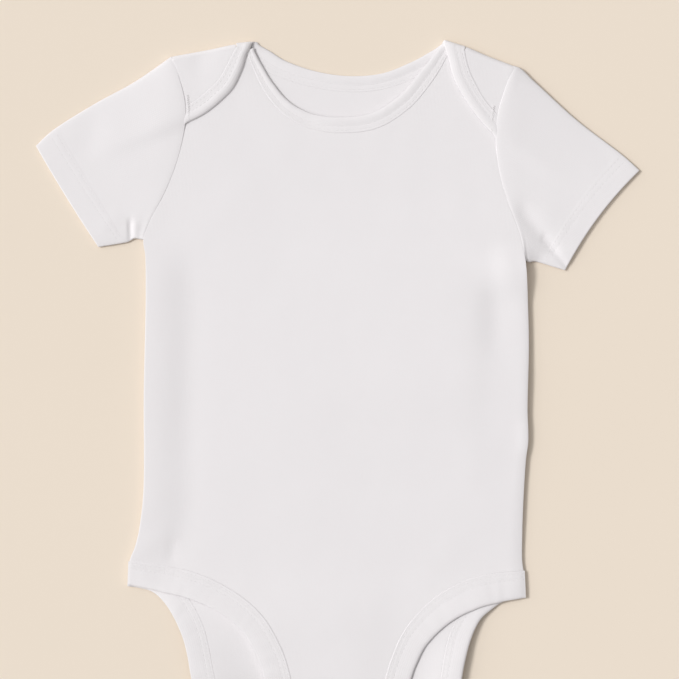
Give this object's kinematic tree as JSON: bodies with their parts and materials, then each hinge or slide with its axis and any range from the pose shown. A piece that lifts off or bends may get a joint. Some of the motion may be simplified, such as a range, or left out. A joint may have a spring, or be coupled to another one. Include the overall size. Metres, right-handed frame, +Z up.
{
  "type": "baby bodysuit",
  "caption": "White short-sleeved baby bodysuit with lapped shoulders, bound neck and leg openings and a snapped crotch, laid flat face up.",
  "frame": {"origin": "middle of the laid-out garment, on the surface it rests on", "axes": "+Y from the crotch up to the neck, +Z up out of the front, +X to the viewer's right when looking down at the front"},
  "size_m": [0.3745, 0.4446, 0.0084],
  "materials": {
    "cloth": "soft matte cotton jersey",
    "binding": "soft matte rib knit",
    "snap": "smooth, softly shining"
  },
  "bodies": {
    "root": {"front_panel": "cloth", "back_panel": "cloth", "front_neck_binding": "binding", "back_neck_binding": "binding", "left_sleeve": "cloth", "right_sleeve": "cloth", "front_leg_band_left": "binding", "front_leg_band_right": "binding", "back_leg_band_left": "binding", "back_leg_band_right": "binding", "snap_stud_1": "snap", "snap_socket_1": "snap", "snap_stud_2": "snap", "snap_socket_2": "snap", "snap_stud_3": "snap", "snap_socket_3": "snap"}
  },
  "joints": []
}
